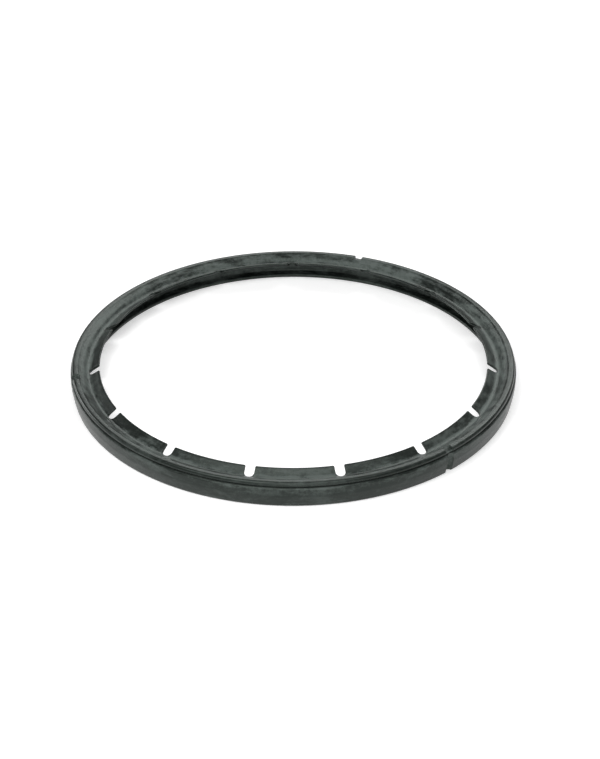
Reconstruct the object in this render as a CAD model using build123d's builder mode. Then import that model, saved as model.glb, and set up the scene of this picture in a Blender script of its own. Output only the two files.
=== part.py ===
from build123d import *
from math import atan2, degrees, hypot
import os

# Sealing ring of a stovetop pressure cooker: one ring of moulded rubber.
# It lies on its lower flange. The section is a channel open towards the
# middle: a flared skirt outside, a flat flange below, and above it a web
# that carries a rounded bead and a thin sealing lip, slotted all round.
# Millimetres, +Z up, origin at the centre of the face the ring lies on.

os.makedirs("parts", exist_ok=True)

# Skirt: the outer wall, flared from the foot, then upright up to its rim
rim_radius = 126.5
foot_inset = 1.1
flare_height = 6.4
seat_height = 4.8
skirt_thickness = 5.1

# Crease that runs round the wall between the rim and the bead
crease_depth = 2.1
crease_rise = 0.8

# Bead: the rounded shoulder round the top outer edge
bead_inset = 0.7
bead_step = 0.6
bead_side = 2.0
bead_width = 3.4

# Land: the gently sloping shelf inside the bead
land_step = 0.7
land_step_run = 1.0
land_width = 2.6
land_fall = 1.2

# Fold: the valley where the land drops and the lip begins
drop_fall = 2.7
drop_run = 2.2
web_thickness = 1.7

# Sealing lip: rises from the fold to its free edge, which is cut square
lip_reach = 6.2
lip_rise = 3.75
lip_edge_thickness = 1.1

# Lower flange, below the channel
flange_thickness = 2.6
flange_width = 4.4
flange_taper = 0.6

# Vent slots through the lip
slot_count = 15
slot_width = 5.2
slot_to_fold = 0.6
slot_phase = -5.7

# Locating notches: a groove down the skirt, cut as deep at the foot as given
# here and shallower towards the rim, and above it a gap through the bead
notch_count = 3
notch_width = 4.4
notch_depth = 2.2
notch_phase = 70.7

# Roundings of the section's corners
foot_round = 0.9
flare_round = 8.0
rim_round = 0.7
crease_round = 0.3
shoulder_round = 0.8 * bead_side
crest_round = 1.6
land_outer_round = 1.5
land_inner_round = 2.2 * drop_run
fold_round = drop_run
web_round = 1.6
lip_round = 0.35 * lip_edge_thickness
channel_round = 1.0
flange_round = 0.6

# Radii of the section, inwards from the rim
foot_radius = rim_radius - foot_inset
crease_radius = rim_radius - crease_depth
bead_radius = rim_radius - bead_inset
bead_inner_radius = bead_radius - bead_width
land_outer_radius = bead_inner_radius - land_step_run
land_inner_radius = land_outer_radius - land_width
fold_radius = land_inner_radius - drop_run
lip_edge_radius = fold_radius - lip_reach
channel_radius = rim_radius - skirt_thickness
flange_edge_radius = channel_radius - flange_width

# Heights of the section, up from the foot and then down from the bead
rim_height = flare_height + seat_height
crease_height = rim_height + crease_rise
bead_low = crease_height + bead_step
bead_high = bead_low + bead_side
land_outer_height = bead_high - land_step
land_inner_height = land_outer_height - land_fall
fold_height = land_inner_height - drop_fall
web_low = fold_height - web_thickness
lip_edge_height = fold_height + lip_rise
flange_edge_thickness = flange_thickness - flange_taper

# Lower corner of the lip's free edge, square to the lip's slope
lip_length = hypot(lip_reach, lip_rise)
lip_under_radius = lip_edge_radius - lip_edge_thickness * lip_rise / lip_length
lip_under_height = lip_edge_height - lip_edge_thickness * lip_reach / lip_length

# Corners of the section in order round it, as radius and height, each with
# its rounding: up the outside, in over the top, back under the lip
corners = [
    ((foot_radius, 0), foot_round),
    ((rim_radius, flare_height), flare_round),
    ((rim_radius, rim_height), rim_round),
    ((crease_radius, crease_height), crease_round),
    ((bead_radius, bead_low), crease_round),
    ((bead_radius, bead_high), shoulder_round),
    ((bead_inner_radius, bead_high), crest_round),
    ((land_outer_radius, land_outer_height), land_outer_round),
    ((land_inner_radius, land_inner_height), land_inner_round),
    ((fold_radius, fold_height), fold_round),
    ((lip_edge_radius, lip_edge_height), lip_round),
    ((lip_under_radius, lip_under_height), lip_round),
    ((fold_radius, web_low), web_round),
    ((channel_radius, web_low), channel_round),
    ((channel_radius, flange_thickness), channel_round),
    ((flange_edge_radius, flange_edge_thickness), flange_round),
    ((flange_edge_radius, 0), flange_round),
]

with BuildPart() as sealing_ring:
    with BuildSketch(Plane.XZ) as section:
        with BuildLine():
            Polyline([corner for corner, rounding in corners], close=True)
        make_face()
        for corner, rounding in corners:
            fillet(section.vertices().sort_by_distance(corner)[0], rounding)
    revolve(axis=Axis.Z)

    # Slots: cut down through the lip only, round at their outer end
    slot_end_centre = fold_radius - slot_to_fold - slot_width / 2
    slot_mouth = lip_under_radius - slot_width
    with BuildSketch(Plane.XY.offset(flange_thickness)):
        with PolarLocations(0, slot_count, start_angle=slot_phase):
            with Locations(((slot_mouth + slot_end_centre) / 2, 0)):
                Rectangle(slot_end_centre - slot_mouth, slot_width)
            with Locations((slot_end_centre, 0)):
                Circle(slot_width / 2)
    extrude(amount=bead_high, mode=Mode.SUBTRACT)

    # Grooves down the skirt: round cuts that lean out as the flare does
    lean = degrees(atan2(foot_inset, flare_height))
    groove_centre = foot_radius - notch_depth + notch_width / 2
    with PolarLocations(0, notch_count, start_angle=notch_phase):
        with Locations(Location((groove_centre, 0, 0), (0, lean, 0))):
            Cylinder(notch_width / 2, 2 * bead_high, mode=Mode.SUBTRACT)

    # Gaps in the bead above them: straight through it, on a floor that falls
    # from the land's edge to the bead's lower edge
    gap_depth = bead_radius - land_outer_radius
    gap_fall = land_outer_height - bead_low
    with BuildPart(mode=Mode.PRIVATE) as gap:
        with BuildSketch(Plane.XZ):
            with BuildLine():
                Polyline(
                    (bead_radius + gap_depth, bead_low - gap_fall),
                    (land_outer_radius - gap_depth, land_outer_height + gap_fall),
                    (bead_radius + gap_depth, bead_high + bead_high),
                    close=True,
                )
            make_face()
        extrude(amount=notch_width / 2, both=True)
    with PolarLocations(0, notch_count, start_angle=notch_phase):
        add(gap.part, mode=Mode.SUBTRACT)

sealing_ring.part.label = "sealing_ring"
export_step(sealing_ring.part, "parts/sealing_ring.step")
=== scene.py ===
"""Sealing ring of a stovetop pressure cooker: one ring of moulded black rubber on a pale studio floor.

Laid out as an add-on and run as a script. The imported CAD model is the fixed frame: the ring takes its
diameter and height from it. Everything is in metres.
"""

import math

import bpy
import numpy as np
from bpy.props import FloatProperty, FloatVectorProperty, IntProperty, PointerProperty
from mathutils import Matrix, Vector


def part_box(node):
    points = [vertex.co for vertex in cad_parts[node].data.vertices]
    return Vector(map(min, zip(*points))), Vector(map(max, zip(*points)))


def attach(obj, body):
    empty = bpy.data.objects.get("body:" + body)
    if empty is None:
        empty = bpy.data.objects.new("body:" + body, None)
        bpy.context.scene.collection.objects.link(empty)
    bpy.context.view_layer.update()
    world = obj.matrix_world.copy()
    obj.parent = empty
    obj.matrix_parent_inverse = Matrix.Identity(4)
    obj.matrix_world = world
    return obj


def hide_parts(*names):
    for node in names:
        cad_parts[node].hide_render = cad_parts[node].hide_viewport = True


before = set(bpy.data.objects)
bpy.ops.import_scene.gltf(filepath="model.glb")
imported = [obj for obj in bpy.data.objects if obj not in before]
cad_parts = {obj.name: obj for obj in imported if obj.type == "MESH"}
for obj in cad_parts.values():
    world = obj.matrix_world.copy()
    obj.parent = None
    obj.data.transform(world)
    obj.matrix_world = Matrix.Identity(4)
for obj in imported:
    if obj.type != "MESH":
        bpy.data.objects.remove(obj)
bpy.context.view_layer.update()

bl_info = {
    "name": "Pressure cooker sealing ring",
    "version": (1, 0, 0),
    "blender": (4, 5, 0),
    "location": "View3D > Sidebar > Sealing Ring",
    "description": "Builds the moulded rubber sealing ring of a pressure cooker and a plain studio stage",
    "category": "Object",
}

NODE = "sealing_ring"
RING_LOW, RING_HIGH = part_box(NODE)
RIM_RADIUS = (RING_HIGH.x - RING_LOW.x) / 2
RING_HEIGHT = RING_HIGH.z - RING_LOW.z
MM = 0.001


# ---------------------------------------------------------------- sizes and colours


def length(name, description, millimetres):
    size = millimetres * MM
    return FloatProperty(
        name=name, description=description, default=size, min=0.0, unit="LENGTH", precision=5
    )


def angle(name, description, degrees):
    turn = math.radians(degrees)
    return FloatProperty(name=name, description=description, default=turn, subtype="ANGLE")


def amount(name, description, value, top=1.0):
    return FloatProperty(
        name=name, description=description, default=value, min=0.0, max=top, subtype="FACTOR"
    )


def count(name, description, number):
    return IntProperty(name=name, description=description, default=number, min=1)


def colour(name, description, value):
    return FloatVectorProperty(
        name=name, description=description, default=value, size=3, min=0.0, max=1.0, subtype="COLOR"
    )


class RingSizes(bpy.types.PropertyGroup):
    """Sizes of the ring's section, slots and notches"""

    rim_radius: length("Rim radius", "Outer radius of the wall", RIM_RADIUS / MM)
    height: length("Height", "From the foot to the top of the bead", RING_HEIGHT / MM)
    foot_inset: length("Foot inset", "How far the foot stands back from the rim", 1.1)
    flare_height: length("Flare height", "Height over which the skirt flares", 6.4)
    skirt_thickness: length("Skirt thickness", "From the rim in to the channel", 5.1)
    crease_depth: length("Crease depth", "Depth of the crease under the bead", 2.1)
    crease_rise: length("Crease rise", "Height of the crease's lower slope", 0.8)
    bead_step: length("Bead step", "Height of the crease's upper slope", 0.6)
    bead_inset: length("Bead inset", "How far the bead stands back from the rim", 0.7)
    bead_side: length("Bead side", "Height of the bead's outer side", 2.0)
    bead_width: length("Bead width", "Width of the bead's top", 3.4)
    land_step: length("Land step", "From the bead's top down to the land", 0.7)
    land_step_run: length("Land step run", "Width of that step", 1.0)
    land_width: length("Land width", "Width of the sloping land", 2.6)
    land_fall: length("Land fall", "How far the land slopes down", 1.2)
    drop_fall: length("Drop fall", "From the land's edge down to the fold", 2.7)
    drop_run: length("Drop run", "Width of that drop", 2.2)
    web_thickness: length("Web thickness", "Rubber left at the fold", 1.7)
    lip_reach: length("Lip reach", "From the fold in to the lip's edge", 6.2)
    lip_rise: length("Lip rise", "How far the lip rises to its edge", 3.75)
    lip_edge_thickness: length("Lip edge thickness", "Thickness of the lip's edge", 1.1)
    flange_thickness: length("Flange thickness", "Thickness of the lower flange", 2.6)
    flange_width: length("Flange width", "From the channel in to the flange's edge", 4.4)
    flange_taper: length("Flange taper", "How much thinner its edge is", 0.6)

    foot_round: length("Foot rounding", "Rounding under the skirt", 0.9)
    flare_round: length("Flare rounding", "Rounding between the flare and the upright wall", 8.0)
    rim_round: length("Rim rounding", "Rounding of the wall's upper edge", 0.7)
    crease_round: length("Crease rounding", "Rounding inside the crease and under the bead", 0.3)
    crest_round: length("Crest rounding", "Rounding of the bead's inner edge", 1.6)
    land_round: length("Land rounding", "Rounding at the foot of the land's step", 1.5)
    web_round: length("Web rounding", "Rounding under the fold", 1.6)
    channel_round: length("Channel rounding", "Rounding of the channel's inner corners", 1.0)
    flange_round: length("Flange rounding", "Rounding of the flange's edge", 0.6)

    slot_count: count("Slots", "Vent slots through the lip", 15)
    slot_width: length("Slot width", "Width of a vent slot", 5.2)
    slot_to_fold: length("Slot to fold", "From the slot's end to the fold", 0.6)
    slot_corner: length("Slot corner", "Rounding where a slot opens through the lip's edge", 0.6)
    slot_phase: angle("First slot", "Angle of the first slot", -5.7)

    notch_count: count("Notches", "Locating notches in the skirt and bead", 3)
    notch_width: length("Notch width", "Width of a locating notch", 4.4)
    notch_depth: length("Notch depth", "Depth of its groove at the foot of the skirt", 2.2)
    notch_soft: length("Notch softness", "Half the width of each side of its gap in the bead", 0.35)
    groove_soft: length("Groove softness", "Rounding between its groove and the skirt", 0.5)
    notch_phase: angle("First notch", "Angle of the first notch", 70.7)


class RubberLook(bpy.types.PropertyGroup):
    """Colours and finish of the rubber"""

    black: colour("Black", "The rubber between the chalky marks", (0.004, 0.006, 0.005))
    chalk: colour("Chalk", "The pale bloom on the rubber", (0.085, 0.1, 0.093))
    gloss: amount("Gloss", "Specular level of the rubber", 0.4)
    sheen: colour("Sheen", "Tint of the rubber's gloss", (0.87, 1.0, 0.92))
    smooth: amount("Smooth", "Roughness of the bare rubber", 0.33)
    dull: amount("Dull", "Roughness of the chalky marks", 0.55)
    grain: amount("Grain", "How far the grain varies the roughness", 0.2)
    marks_from: amount("Marks from", "How much bloom it takes for the marks to begin to show", 0.38)
    marks_full: amount("Marks full", "How much bloom it takes for the marks to be fully pale", 0.8)
    relief: length("Relief", "Height of the grain, specks and streaks", 0.15)
    relief_strength: amount("Relief strength", "How strongly that relief shows", 0.5)


class StageLook(bpy.types.PropertyGroup):
    """Floor, light and camera"""

    floor: colour("Floor", "Colour of the floor", (0.8, 0.8, 0.8))
    sky: amount("Sky", "Strength of the soft light all round", 0.12, 5.0)
    boxes: amount("Soft boxes", "How strongly the soft boxes shine", 1.0, 10.0)
    elevation: angle("Camera elevation", "Height of the camera above the horizon", 32.233)
    distance: FloatProperty(
        name="Camera distance", description="From the ring's middle, in rim radii", default=7.925, min=1.0
    )
    lens: FloatProperty(
        name="Lens", description="Focal length", default=82.776, min=1.0, subtype="DISTANCE_CAMERA"
    )
    aim_right: FloatProperty(
        name="Aim right", description="How far right of the middle, in rim radii", default=0.02943
    )
    aim_down: FloatProperty(
        name="Aim down", description="How far below the middle, in rim radii", default=0.0153
    )


# ---------------------------------------------------------------- the ring's section


# The section's corners in order round it, up the outside, in over the top, down to the lip, back under
# it, round the channel and in along the lower flange. For each, how pale the rubber is painted there, and
# the grid's steps round the corner's arc and along the flat that follows it. The paleness is partly chalk
# bloom and
# partly painted light and shade: painted highlights make the bead's top, the land and the fold paler and
# the rim's edge pale, painted light brightens the channel, painted shade darkens the wall, the bead's
# side and the lip, and the crease is left black as painted shade.
SECTION = {
    "foot": (0.5, 5, 2),
    "flare": (0.4, 6, 3),
    # painted highlight on the rim's edge
    "rim": (0.8, 4, 1),
    # painted shade: the crease stays bare black
    "crease": (0.0, 3, 1),
    "bead_low": (0.2, 3, 1),
    "bead_high": (0.4, 8, 2),
    "crest": (0.75, 6, 1),
    # painted highlight on the land and at the fold, over chalk bloom
    "land_outer": (0.95, 4, 3),
    "land_inner": (1.0, 5, 2),
    "fold": (1.1, 8, 6),
    # painted shade on the lip
    "lip_edge": (0.2, 4, 1),
    "lip_under": (0.5, 4, 6),
    "web": (0.6, 5, 2),
    # painted light in the channel
    "channel_top": (0.9, 4, 3),
    "channel_foot": (0.9, 4, 2),
    "flange_edge": (0.5, 3, 1),
    "flange_foot": (0.4, 3, 5),
}
# The first column: how pale each corner is painted, partly chalk bloom and partly painted light and shade
BLOOM_AND_PAINTED_LIGHT, ARC_STEPS, FLAT_STEPS = (np.array(column) for column in zip(*SECTION.values()))
AT = {name: number for number, name in enumerate(SECTION)}

# A flat is numbered half a step past the corner before it
FLAT = 0.5

# The lip's faces are read off a section whose arcs have this many times the grid's steps
FINE = 6


def section_corners(size):
    """The section's corners in the order of the table, as radius, height and rounding."""
    foot = size.rim_radius - size.foot_inset
    crease = size.rim_radius - size.crease_depth
    bead = size.rim_radius - size.bead_inset
    crest = bead - size.bead_width
    land_outer = crest - size.land_step_run
    land_inner = land_outer - size.land_width
    fold = land_inner - size.drop_run
    lip_edge = fold - size.lip_reach
    channel = size.rim_radius - size.skirt_thickness
    flange_edge = channel - size.flange_width

    bead_low = size.height - size.bead_side
    crease_z = bead_low - size.bead_step
    rim_z = crease_z - size.crease_rise
    land_z = size.height - size.land_step
    fold_z = land_z - size.land_fall - size.drop_fall
    web_z = fold_z - size.web_thickness
    lip_z = fold_z + size.lip_rise

    # The lip's free edge is cut square to its slope
    slope = math.hypot(size.lip_reach, size.lip_rise)
    lip_under = lip_edge - size.lip_edge_thickness * size.lip_rise / slope
    lip_under_z = lip_z - size.lip_edge_thickness * size.lip_reach / slope

    shoulder_round = 0.8 * size.bead_side
    drop_round = 2.2 * size.drop_run
    lip_round = 0.35 * size.lip_edge_thickness
    corners = {
        "foot": (foot, 0, size.foot_round),
        "flare": (size.rim_radius, size.flare_height, size.flare_round),
        "rim": (size.rim_radius, rim_z, size.rim_round),
        "crease": (crease, crease_z, size.crease_round),
        "bead_low": (bead, bead_low, size.crease_round),
        "bead_high": (bead, size.height, shoulder_round),
        "crest": (crest, size.height, size.crest_round),
        "land_outer": (land_outer, land_z, size.land_round),
        "land_inner": (land_inner, land_z - size.land_fall, drop_round),
        "fold": (fold, fold_z, size.drop_run),
        "lip_edge": (lip_edge, lip_z, lip_round),
        "lip_under": (lip_under, lip_under_z, lip_round),
        "web": (fold, web_z, size.web_round),
        "channel_top": (channel, web_z, size.channel_round),
        "channel_foot": (channel, size.flange_thickness, size.channel_round),
        "flange_edge": (flange_edge, size.flange_thickness - size.flange_taper, size.flange_round),
        "flange_foot": (flange_edge, 0, size.flange_round),
    }
    return np.array([corners[name] for name in SECTION])


def rounded_section(corners, arc_steps, flat_steps):
    """Walks round the closed section. At each corner the point runs along an arc of the corner's
    rounding, tangent to both sides: centre plus rounding times the cosine and sine of an angle that goes
    evenly from one tangent point to the other. Between arcs it runs straight. Returns radius, height and
    the number of the corner or flat."""
    corner = corners[:, :2]
    before = np.roll(corner, 1, axis=0) - corner
    after = np.roll(corner, -1, axis=0) - corner
    before /= np.linalg.norm(before, axis=1)[:, None]
    after /= np.linalg.norm(after, axis=1)[:, None]
    inside = np.arccos(np.clip((before * after).sum(1), -1, 1))
    rounding = corners[:, 2]
    half_way = before + after
    half_way /= np.linalg.norm(half_way, axis=1)[:, None]
    centre = corner + half_way * (rounding / np.sin(inside / 2))[:, None]
    first = corner + before * (rounding / np.tan(inside / 2))[:, None] - centre
    last = corner + after * (rounding / np.tan(inside / 2))[:, None] - centre
    start = np.arctan2(first[:, 1], first[:, 0])
    turn = np.arctan2(first[:, 0] * last[:, 1] - first[:, 1] * last[:, 0], (first * last).sum(1))
    points, number = [], []
    for k in range(len(corners)):
        along = start[k] + turn[k] * np.linspace(0, 1, arc_steps[k] + 1)
        arc = centre[k] + rounding[k] * np.stack([np.cos(along), np.sin(along)], 1)
        following = (k + 1) % len(corners)
        ahead = centre[following] + first[following]
        part = np.linspace(0, 1, flat_steps[k] + 1)[1:-1, None]
        points += [arc, arc[-1] + (ahead - arc[-1]) * part]
        number += [np.full(len(arc), float(k)), np.full(len(part), k + FLAT)]
    points = np.concatenate(points)
    return points[:, 0], points[:, 1], np.concatenate(number)


def face_height(corners, start, end, root, tip):
    """Height of a face of the lip as a function of the radius. It is read off the section from one number
    to another, and carried straight on past the lip's edge at the slope from the root's corner to the
    tip's."""
    r, z, number = rounded_section(corners, ARC_STEPS * FINE, FLAT_STEPS)
    face = np.flatnonzero((number >= start) & (number < end))
    face = face[np.argsort(r[face])]
    r, z = r[face], z[face]
    run, rise = corners[tip, :2] - corners[root, :2]

    def height(radius):
        return np.where(radius < r[0], z[0] + (radius - r[0]) * rise / run, np.interp(radius, r, z))

    return height


# ---------------------------------------------------------------- round the ring


# Angles from a slot's middle line where the stretches of its outline end: the round end, the straight
# side, the small corner, and the piece of the lip's edge along which the grid's lines even out again
SLOT_END, SLOT_SIDE, SLOT_CORNER, SLOT_FREE = np.radians([1.15, 1.5, 1.75, 4.2])

# Angles from a notch's middle: where its side begins, where it ends, and the reach of the moved lines
NOTCH_INNER, NOTCH_OUTER, NOTCH_REACH = np.radians([0.75, 1.35, 3.2])

# Past those the grid's lines stand further and further apart
SLOT_SPREAD = np.radians([2.1, 2.6, 3.2])
NOTCH_SPREAD = np.radians([1.45, 1.7, 2.1, 2.7])

# Round the plain ring they have an even pitch, this clear of the others, and of two lines that are
# closer than the closest, one goes
PITCH = math.radians(1.25)
CLEAR = math.radians(0.5)
CLOSEST = math.radians(0.025)


def smooth(x):
    """Goes from 0 to 1 as x does, level at both ends: x squared times three less two x."""
    x = np.clip(x, 0, 1)
    return x * x * (3 - 2 * x)


def lesser(first, second, round_off):
    """The lesser of two values, with the corner between them rounded off: a share of each that goes from
    one to the other while they are within the rounding, less the rounding times both shares."""
    share = np.clip(0.5 + 0.5 * (second - first) / round_off, 0, 1)
    return second + (first - second) * share - round_off * share * (1 - share)


def turned(x, y, by):
    """Plan places turned by an angle round the middle."""
    return x * np.cos(by) - y * np.sin(by), x * np.sin(by) + y * np.cos(by)


def places(phase, number):
    """Angles of so many evenly spaced places round the ring."""
    return phase + np.arange(number) * 2 * math.pi / number


def nearest(angles, phase, number):
    """For each angle, the nearest of the evenly spaced places round the ring, and the angle from it."""
    pitch = 2 * math.pi / number
    place = phase + np.round((angles - phase) / pitch) * pitch
    return place, angles - place


def lines_near(stretches, spread):
    """Angles of the grid's lines to both sides of a middle: even steps along each stretch, given as where
    it ends and its number of steps, and then the spread."""
    lines = [np.zeros(1)]
    for end, steps in stretches:
        lines.append(np.linspace(lines[-1][-1], end, steps + 1)[1:])
    lines = np.concatenate([*lines, spread])
    return np.concatenate([-lines[:0:-1], lines])


def angles_round(size):
    """Angles of the grid's lines round the ring: close together at slots and notches, even elsewhere."""
    near_slot = lines_near(((SLOT_END, 6), (SLOT_SIDE, 3), (SLOT_CORNER, 3)), SLOT_SPREAD)
    near_notch = lines_near(((NOTCH_INNER, 5), (NOTCH_OUTER, 6)), NOTCH_SPREAD)
    at_slots = places(size.slot_phase, size.slot_count)[:, None] + near_slot
    at_notches = places(size.notch_phase, size.notch_count)[:, None] + near_notch
    dense = np.concatenate([at_slots.ravel(), at_notches.ravel()]) % (2 * math.pi)
    even = np.arange(0, 2 * math.pi - PITCH / 2, PITCH)
    gap = np.abs((even[:, None] - dense + math.pi) % (2 * math.pi) - math.pi).min(1)
    lines = np.sort(np.concatenate([dense, even[gap > CLEAR]]))
    apart = np.diff(np.append(lines, lines[0] + 2 * math.pi))
    return lines[apart > CLOSEST]


# ---------------------------------------------------------------- slots


def slot_outline(away, size, edge, end_centre):
    """Plan outline of the lip near a slot, the slot's middle line along x. As the angle away from it
    grows, the outline goes a quarter turn round the slot's end, straight out along its side, round a
    small corner, and on along the circle of the lip's edge. Returns x, y, the angle of the direction
    that points into the rubber, and how far the point belongs to the free edge, from 0 to 1."""
    half, corner = size.slot_width / 2, size.slot_corner
    corner_x = math.sqrt((edge + corner) ** 2 - (half + corner) ** 2)
    meets = math.atan2(half + corner, corner_x)
    turn = np.interp(away, [0, SLOT_END], [0, math.pi / 2])
    out = np.interp(away, [SLOT_END, SLOT_SIDE], [0, 1])
    swing = np.interp(away, [SLOT_SIDE, SLOT_CORNER], [0, math.pi / 2 - meets])
    x = end_centre + half * np.cos(turn) + (corner_x - end_centre) * out - corner * np.sin(swing)
    y = half * np.sin(turn) + corner * (1 - np.cos(swing))

    # Along the lip's edge the angle starts where the corner meets it and falls back in step with the grid
    on_edge = away > SLOT_CORNER
    in_step = smooth((away - SLOT_CORNER) / (SLOT_FREE - SLOT_CORNER))
    rest = away + (meets - SLOT_CORNER) * (1 - in_step)
    x = np.where(on_edge, edge * np.cos(rest), x)
    y = np.where(on_edge, edge * np.sin(rest), y)
    facing = np.where(on_edge, rest, turn - swing)
    free = smooth(np.interp(away, [SLOT_SIDE, SLOT_CORNER], [0, 1]))
    return x, y, facing, free


def cut_slots(points, angles, section, corners, size):
    """Moves the lip's points so that its edge follows the outline of the slots. Points between the fold
    and the edge keep their share of the way, and their height is read off the lip's upper or lower face
    at their new radius. Along the free edge the cut leans as the section's does, and in a slot it stands
    upright."""
    r, z, number = section
    fold, edge, under, web = AT["fold"], AT["lip_edge"], AT["lip_under"], AT["web"]
    fold_r, edge_r, under_r = corners[[fold, edge, under], 0]
    upper = face_height(corners, AT["bead_high"], edge, fold, edge)
    lower = face_height(corners, under + FLAT, AT["channel_top"], web, under)

    slot_at, from_slot = nearest(angles, size.slot_phase, size.slot_count)
    end_centre = fold_r - size.slot_to_fold - size.slot_width / 2
    x, y, facing, free = slot_outline(np.abs(from_slot), size, edge_r, end_centre)
    side = np.where(from_slot < 0, -1.0, 1.0)
    x, y = turned(x, y * side, slot_at)
    facing = facing * side + slot_at

    tip = np.flatnonzero((number >= edge) & (number <= under))
    share = (z[tip] - lower(r[tip])) / (upper(r[tip]) - lower(r[tip]))
    lean = edge_r - r[tip] - (edge_r - under_r) * (1 - share) * (1 - free[:, None])
    tip_x = x[:, None] - np.cos(facing)[:, None] * lean
    tip_y = y[:, None] - np.sin(facing)[:, None] * lean
    tip_r = np.hypot(tip_x, tip_y)
    tip_z = lower(tip_r) + (upper(tip_r) - lower(tip_r)) * share
    points[:, tip] = np.stack([tip_x, tip_y, tip_z], 2)

    above, below = np.flatnonzero(number == fold)[0], np.flatnonzero(number == web)[-1]
    for root, end, between, face in (
        (above, tip[0], slice(above, tip[0]), upper),
        (below, tip[-1], slice(tip[-1] + 1, below + 1), lower),
    ):
        part = ((r[root] - r[between]) / (r[root] - r[end]))[:, None]
        root_xy, end_xy = points[:, root, None, :2], points[:, end, None, :2]
        xy = root_xy + (end_xy - root_xy) * part
        points[:, between, :2] = xy
        points[:, between, 2] = face(np.hypot(xy[..., 0], xy[..., 1]))


# ---------------------------------------------------------------- notches


# How steeply the groove's circle is carried outwards past its sides
GROOVE_STEEPNESS = 8

# The moved part of the base ends this far in from the land's outer edge
BASE_KEPT = 1.2 * MM


def groove_radius(across, height, size):
    """Radius of the groove down the skirt: the bottom of a circle as wide as the notch, which leans out
    with the skirt's flare, carried steeply outwards on both sides of it."""
    half = size.notch_width / 2
    foot = size.rim_radius - size.foot_inset - size.notch_depth + half
    middle = foot + height * size.foot_inset / size.flare_height
    beside = np.maximum(across - half, 0) * GROOVE_STEEPNESS
    return middle - np.sqrt(np.maximum(half**2 - across**2, 0)) + beside


def notch_lines(away, size):
    """Lays the lines near a notch closer together where its sides come down. Returns the angle from the
    notch's middle at which each is laid, and how open the gap in the bead is there, from 0 to 1."""
    half, soft = size.notch_width / 2, size.notch_soft
    inner, outer = (half - soft) / size.rim_radius, (half + soft) / size.rim_radius
    laid = np.interp(away, [0, NOTCH_INNER, NOTCH_OUTER, NOTCH_REACH], [0, inner, outer, NOTCH_REACH])
    return laid, 1 - smooth((laid - inner) / (outer - inner))


def cut_notches(points, angles, section, corners, size):
    """Moves the points near each notch. The skirt's radius becomes the lesser of its own and the
    groove's, and the base follows it. The bead is laid down on to the gap's floor, a straight line from
    the bead's lower edge to the land's edge. Between the moved lines and the ones left alone, on the land
    and the base, the lines lean over evenly."""
    r, z, number = section
    kept_r = corners[AT["land_outer"], 0] - BASE_KEPT
    skirt = np.flatnonzero(number < AT["bead_low"])
    bead = np.flatnonzero((number >= AT["bead_low"]) & (number <= AT["land_outer"]))
    land = np.flatnonzero((number > AT["land_outer"]) & (number <= AT["land_inner"]))
    base = np.flatnonzero((number > AT["flange_foot"]) & (r > kept_r))

    notch_at, from_notch = nearest(angles, size.notch_phase, size.notch_count)
    near = np.flatnonzero(np.abs(from_notch) < NOTCH_REACH)
    notch_at, from_notch = notch_at[near, None], from_notch[near, None]
    laid, gap = notch_lines(np.abs(from_notch), size)
    new_r, new_z = np.tile(r, (len(near), 1)), np.tile(z, (len(near), 1))

    groove = groove_radius(laid * size.rim_radius, z[skirt], size)
    new_r[:, skirt] = lesser(r[skirt], groove, size.groove_soft)
    base_part = (r[base] - kept_r) / (r[0] - kept_r)
    new_r[:, base] = kept_r + (new_r[:, :1] - kept_r) * base_part

    steps = np.hypot(np.diff(r[bead]), np.diff(z[bead]))
    along = np.append(0, np.cumsum(steps)) / steps.sum()
    low, high = bead[0], bead[-1]
    outer_r = min(r[low], groove_radius(0.0, z[low], size))
    new_r[:, bead] += (outer_r + (r[high] - outer_r) * along - r[bead]) * gap
    new_z[:, bead] += (z[low] + (z[high] - z[low]) * along - z[bead]) * gap

    follow = (number <= AT["land_outer"]).astype(float)
    follow[land] = np.arange(len(land), 0, -1) / (len(land) + 1)
    follow[base] = base_part
    turn = notch_at + from_notch + (np.sign(from_notch) * laid - from_notch) * follow
    moved = np.concatenate([skirt, bead, land, base])
    new = np.stack([new_r * np.cos(turn), new_r * np.sin(turn), new_z], 2)
    points[np.ix_(near, moved)] = new[:, moved]


# ---------------------------------------------------------------- the ring


# A surface set this far back from the plain section is painted this pale
SET_BACK_DEPTH = 0.4 * MM
SET_BACK_PALENESS = 0.9

# Edges that turn more than this stay sharp
SHARP_ANGLE = math.radians(50)


def ring_surface(size):
    """The ring as one grid that closes on itself both ways. One parameter is the angle round the ring and
    the other runs round the section: a point is at radius r and height z of the rounded section, turned
    by the angle. Then the slots and the notches are cut."""
    corners = section_corners(size)
    section = rounded_section(corners, ARC_STEPS, FLAT_STEPS)
    r, z = section[:2]
    angles = angles_round(size)
    around = angles[:, None]
    points = np.stack(np.broadcast_arrays(np.cos(around) * r, np.sin(around) * r, z), 2)
    cut_slots(points, angles, section, corners, size)
    cut_notches(points, angles, section, corners, size)
    return points, section


def bloom_and_painted_light_share(points, section):
    """How pale each point is painted: the table's value at each corner, partly chalk bloom and partly
    painted light and shade, and evenly from one corner to the next. It is raised in the notches, where
    the surface is set back."""
    r, z, number = section
    share = np.interp(number, np.arange(len(BLOOM_AND_PAINTED_LIGHT) + 1), np.append(BLOOM_AND_PAINTED_LIGHT, BLOOM_AND_PAINTED_LIGHT[0]))
    back = np.hypot(np.hypot(points[..., 0], points[..., 1]) - r, points[..., 2] - z)
    back = np.where(number <= AT["land_inner"], smooth(back / SET_BACK_DEPTH), 0.0)
    return share + (SET_BACK_PALENESS - share) * back


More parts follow.
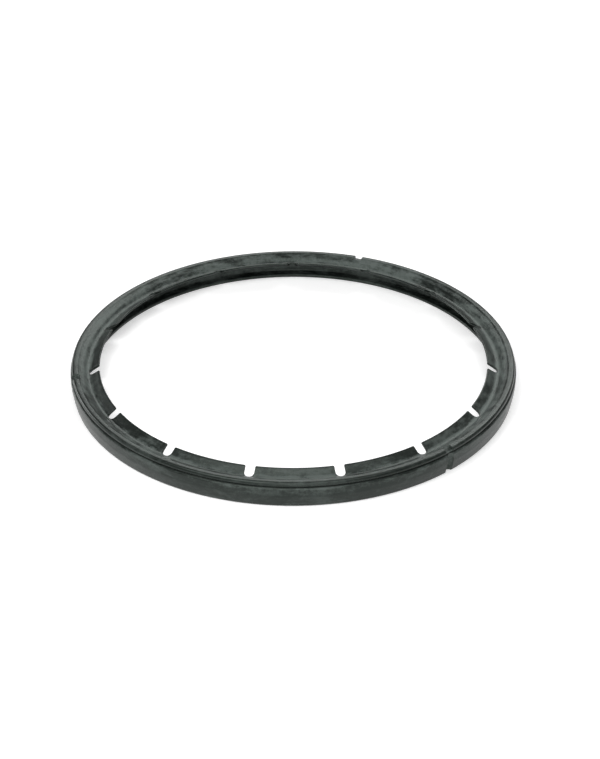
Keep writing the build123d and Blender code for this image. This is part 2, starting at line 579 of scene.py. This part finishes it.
def grid_faces(rows, columns, closed=True):
    """Faces of a grid that closes on itself along its columns, and along its rows too if it is closed:
    each joins a point, the same one on the next row, and the neighbours of both."""
    i = np.arange(rows if closed else rows - 1)[:, None]
    j = np.arange(columns)[None, :]
    i2, j2 = (i + 1) % rows, (j + 1) % columns
    quads = [i * columns + j, i2 * columns + j, i2 * columns + j2, i * columns + j2]
    return np.stack(quads, 2).reshape(-1, 4)


def make_mesh(name, points, faces):
    mesh = bpy.data.meshes.new(name)
    mesh.vertices.add(len(points))
    mesh.vertices.foreach_set("co", points.astype(np.float32).ravel())
    mesh.loops.add(faces.size)
    mesh.loops.foreach_set("vertex_index", faces.astype(np.int32).ravel())
    mesh.polygons.add(len(faces))
    mesh.polygons.foreach_set("loop_start", np.arange(0, faces.size, faces.shape[1], dtype=np.int32))
    mesh.update(calc_edges=True)
    mesh.validate()
    return mesh


def link(name, data):
    item = bpy.data.objects.new(name, data)
    bpy.context.scene.collection.objects.link(item)
    return item


# ---------------------------------------------------------------- the rubber


class Nodes:
    """Short ways to add shader nodes to one material or world and join them."""

    def __init__(self, owner):
        owner.use_nodes = True
        self.tree = owner.node_tree
        self.tree.nodes.clear()

    def add(self, kind, inputs=(), **settings):
        node = self.tree.nodes.new("ShaderNode" + kind)
        for key, value in settings.items():
            setattr(node, key, value)
        for key, value in dict(inputs).items():
            self.put(node.inputs[key], value)
        return node

    def put(self, socket, value):
        if isinstance(value, bpy.types.NodeSocket):
            self.tree.links.new(value, socket)
        else:
            socket.default_value = value

    def calc(self, operation, *values):
        return self.add("Math", dict(enumerate(values)), operation=operation).outputs[0]

    def total(self, first, *others):
        for other in others:
            first = self.calc("ADD", first, other)
        return first

    def times(self, first, second):
        return self.calc("MULTIPLY", first, second)

    def swing(self, value, size, middle=0.5):
        """How far a value is from its middle, times a size."""
        return self.times(self.calc("SUBTRACT", value, middle), size)

    def ramp(self, value, low, high, bottom=0.0, top=1.0):
        """Goes smoothly from the bottom to the top as the value goes from low to high."""
        limits = {"Value": value, "From Min": low, "From Max": high, "To Min": bottom, "To Max": top}
        return self.add("MapRange", limits, interpolation_type="SMOOTHSTEP").outputs["Result"]

    def mix(self, share, first, second):
        node = self.add("Mix", data_type="RGBA")
        self.put(node.inputs["Factor"], share)
        self.put(node.inputs[6], first)
        self.put(node.inputs[7], second)
        return node.outputs[2]


def rubber(look):
    """Moulded black rubber with pale chalky marks, painted paler or darker by zone of the section as
    painted light and shade.
    """
    material = bpy.data.materials.new("black_rubber")
    nodes = Nodes(material)
    place = nodes.add("TexCoord").outputs["Object"]
    x, y, z = nodes.add("SeparateXYZ", {0: place}).outputs
    radius = nodes.calc("SQRT", nodes.total(nodes.times(x, x), nodes.times(y, y)))
    round_x, round_y = nodes.calc("DIVIDE", x, radius), nodes.calc("DIVIDE", y, radius)

    def noise(scale, detail, rough=0.6):
        """Noise of so many marks per metre."""
        inputs = {"Vector": place, "Scale": scale, "Detail": detail, "Roughness": rough}
        return nodes.add("TexNoise", inputs).outputs["Fac"]

    def drawn_out(around, across, detail, rough=0.6):
        """Noise drawn out along the ring: so many marks per metre round it, and so many across and up."""
        reach = around * RIM_RADIUS
        along_x, along_y = nodes.times(round_x, reach), nodes.times(round_y, reach)
        spot = nodes.add("CombineXYZ", {0: along_x, 1: along_y, 2: nodes.times(radius, across)})
        inputs = {
            "Vector": spot.outputs[0], "W": nodes.times(z, across),
            "Scale": 1.0, "Detail": detail, "Roughness": rough,
        }
        return nodes.add("TexNoise", inputs, noise_dimensions="4D").outputs["Fac"]

    # Bloom: clouds as wide as a finger, broken into patches and streaks along the ring, and speckled
    clouds, patches, streaks = noise(30.0, 2.0), drawn_out(110, 300, 5, 0.65), drawn_out(60, 1000, 4)
    specks, grain = noise(420.0, 4.0, 0.65), noise(1500.0, 4.0, 0.7)
    # The section's zones are painted paler or darker from the table: partly chalk bloom, partly painted
    # light and shade
    zone_bloom_and_painted_light = nodes.add("Attribute", attribute_name="bloom_and_painted_light").outputs["Fac"]
    bloom_and_painted_light = nodes.total(
        patches,
        nodes.swing(clouds, 0.7),
        nodes.swing(specks, 0.45),
        nodes.swing(streaks, 0.25),
        nodes.swing(grain, 0.35),
        nodes.swing(zone_bloom_and_painted_light, 0.2, middle=0.6),
    )
    # The marks' paleness is scaled by zone, which paints light and shade as well as chalk bloom
    marks_and_painted_light = nodes.times(nodes.ramp(bloom_and_painted_light, look.marks_from, look.marks_full), zone_bloom_and_painted_light)
    tint = nodes.mix(marks_and_painted_light, (*look.black, 1), (*look.chalk, 1))

    # The marks are duller than the bare rubber, and the grain, specks and streaks stand up a little
    dulled = {"Value": marks_and_painted_light, "To Min": look.smooth, "To Max": look.dull}
    finish = nodes.add("MapRange", dulled).outputs[0]
    height = nodes.total(nodes.times(grain, 0.8), specks, nodes.times(streaks, 0.8))
    relief = {"Strength": look.relief_strength, "Distance": look.relief, "Height": height}
    bump = nodes.add("Bump", relief)
    shader = nodes.add("BsdfPrincipled", {
        "Base Color": tint,
        "Roughness": nodes.total(finish, nodes.swing(grain, look.grain)),
        "Normal": bump.outputs[0],
        "Specular IOR Level": look.gloss,
        "Specular Tint": (*look.sheen, 1),
    })
    nodes.add("OutputMaterial", {"Surface": shader.outputs[0]})
    return material


class RING_OT_sealing_ring(bpy.types.Operator):
    """Build the sealing ring: its section carried round, slots cut in its lip and notches in its wall"""

    bl_idname = "ring.sealing_ring"
    bl_label = "Sealing ring"

    def execute(self, context):
        points, section = ring_surface(context.scene.ring_sizes)
        mesh = make_mesh("moulded_ring", points.reshape(-1, 3), grid_faces(*points.shape[:2]))
        # Paleness by zone of the section, partly chalk bloom and partly painted light and shade
        bloom_and_painted_light = mesh.attributes.new("bloom_and_painted_light", "FLOAT", "POINT")
        bloom_and_painted_light.data.foreach_set("value", bloom_and_painted_light_share(points, section).astype(np.float32).ravel())
        mesh.shade_smooth()
        mesh.set_sharp_from_angle(angle=SHARP_ANGLE)
        mesh.materials.append(rubber(context.scene.rubber_look))
        ring = link("moulded_ring", mesh)
        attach(ring, "root")
        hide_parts(NODE)
        return {"FINISHED"}


# ---------------------------------------------------------------- the stage


# The floor lies just under the ring's foot, so that no two faces share a plane. It has this many points
# to a ring, and its rings are at these distances from the middle, in metres
FLOOR_DROP = 0.1 * MM
FLOOR_LINES = 96
FLOOR_RINGS = np.concatenate([[0.02], np.geomspace(0.1, 12, 14)])

# The floor's own glow grows from the first strength to the second between these distances from its middle
GLOW = (0.4, 1.0)
GLOW_REACH = (0.4, 2.0)

# Soft boxes: where each stands round the ring and above the floor, in degrees and a metre away from its
# middle, the length of its side in metres and its power in watts
SOFT_BOXES = (
    ("soft_box_right", 0, 40, 0.5, 0.5),
    ("soft_box_front_right", 300, 62, 0.5, 2.4),
    ("soft_box_front", 268, 20, 0.4, 2.2),
    ("soft_box_front_left", 230, 58, 0.5, 4.9),
    ("soft_box_behind_left", 155, 14, 0.3, 2.2),
    ("soft_box_behind", 95, 36, 0.4, 2.2),
    ("soft_box_behind_right", 60, 38, 0.4, 3.0),
)


def pale_floor(look):
    """Matt white that also shows a glow of its own to the camera and in reflections, but lights nothing.
    The glow grows away from the middle, where the lamps' light falls off."""
    material = bpy.data.materials.new("pale_floor")
    nodes = Nodes(material)
    ray = nodes.add("LightPath").outputs
    seen = nodes.total(ray["Is Camera Ray"], ray["Is Glossy Ray"], ray["Is Transmission Ray"])
    place = nodes.add("TexCoord").outputs["Object"]
    away = nodes.add("VectorMath", {0: place}, operation="LENGTH").outputs["Value"]
    glow = nodes.times(nodes.calc("MINIMUM", seen, 1.0), nodes.ramp(away, *GLOW_REACH, *GLOW))
    matt = nodes.add("BsdfDiffuse", {"Color": (*look.floor, 1)})
    lit = nodes.add("Emission", {"Color": (1, 1, 1, 1), "Strength": glow})
    both = nodes.add("AddShader", {0: matt.outputs[0], 1: lit.outputs[0]})
    nodes.add("OutputMaterial", {"Surface": both.outputs[0]})
    return material


def studio_floor(look):
    """A wide flat disc: a point is at an angle and a distance from the middle, and one face closes the
    innermost ring of points."""
    turn, reach = places(0, FLOOR_LINES), FLOOR_RINGS[:, None]
    points = np.stack(np.broadcast_arrays(reach * np.cos(turn), reach * np.sin(turn), -FLOOR_DROP), 2)
    faces = grid_faces(len(reach), FLOOR_LINES, closed=False).tolist() + [list(range(FLOOR_LINES))]
    mesh = bpy.data.meshes.new("studio_floor")
    mesh.from_pydata(points.reshape(-1, 3).tolist(), [], faces)
    mesh.update()
    mesh.materials.append(pale_floor(look))
    return link("studio_floor", mesh)


def studio_sky(look):
    world = bpy.data.worlds.new("studio_sky")
    nodes = Nodes(world)
    light = nodes.add("Background", {"Color": (1, 1, 1, 1), "Strength": look.sky})
    nodes.add("OutputWorld", {"Surface": light.outputs[0]})
    return world


def soft_box(name, turn, height, side, power):
    """A square lamp on a dome one metre in radius, pointed at the ring's middle."""
    around, above = math.radians(turn), math.radians(height)
    level = math.cos(above)
    place = Vector((math.cos(around) * level, math.sin(around) * level, math.sin(above)))
    data = bpy.data.lights.new(name, "AREA")
    data.shape, data.size, data.size_y, data.energy = "RECTANGLE", side, side, power
    pointed = (-place).to_track_quat("-Z", "Y").to_matrix().to_4x4()
    link(name, data).matrix_world = Matrix.Translation(place) @ pointed


def studio_camera(look, radius):
    """Looks down at the ring from the front, aimed a little to the right of its middle and below it."""
    data = bpy.data.cameras.new("camera")
    data.sensor_fit, data.sensor_width, data.lens, data.clip_start = "AUTO", 36.0, look.lens, 0.01
    level, rise = math.cos(look.elevation), math.sin(look.elevation)
    spot = Vector((0, -level, rise)) * radius * look.distance
    aim = (Vector((1, 0, 0)) * look.aim_right - Vector((0, rise, level)) * look.aim_down) * radius
    forward = (aim - spot).normalized()
    side = forward.cross(Vector((0, 0, 1))).normalized()
    pose = Matrix((side, side.cross(forward), -forward)).transposed().to_4x4()
    pose.translation = spot
    camera = link("camera", data)
    camera.matrix_world = pose
    return camera


class RING_OT_stage(bpy.types.Operator):
    """Set up the pale floor, the soft studio light and the camera"""

    bl_idname = "ring.stage"
    bl_label = "Stage"

    def execute(self, context):
        scene, look = context.scene, context.scene.stage_look
        floor = studio_floor(look)
        scene.world = studio_sky(look)
        for name, turn, height, side, power in SOFT_BOXES:
            soft_box(name, turn, height, side, power * look.boxes)
        scene.camera = studio_camera(look, scene.ring_sizes.rim_radius)
        scene.view_settings.view_transform = "Standard"
        return {"FINISHED"}


# ---------------------------------------------------------------- panel and running


class RING_PT_panel(bpy.types.Panel):
    """Lists the ring's builders and their sizes"""

    bl_idname = "RING_PT_panel"
    bl_label = "Sealing Ring"
    bl_space_type = "VIEW_3D"
    bl_region_type = "UI"
    bl_category = "Sealing Ring"

    def draw(self, context):
        scene = context.scene
        for builder, *groups in (
            (RING_OT_sealing_ring, scene.ring_sizes, scene.rubber_look),
            (RING_OT_stage, scene.stage_look),
        ):
            self.layout.operator(builder.bl_idname)
            for group in groups:
                for name in group.__annotations__:
                    self.layout.prop(group, name)


CLASSES = (RingSizes, RubberLook, StageLook, RING_OT_sealing_ring, RING_OT_stage, RING_PT_panel)


def register():
    for item in CLASSES:
        bpy.utils.register_class(item)
    bpy.types.Scene.ring_sizes = PointerProperty(type=RingSizes)
    bpy.types.Scene.rubber_look = PointerProperty(type=RubberLook)
    bpy.types.Scene.stage_look = PointerProperty(type=StageLook)


def unregister():
    del bpy.types.Scene.stage_look, bpy.types.Scene.rubber_look, bpy.types.Scene.ring_sizes
    for item in reversed(CLASSES):
        bpy.utils.unregister_class(item)


def main():
    register()
    bpy.ops.ring.sealing_ring()
    bpy.ops.ring.stage()


if __name__ == "__main__":
    main()
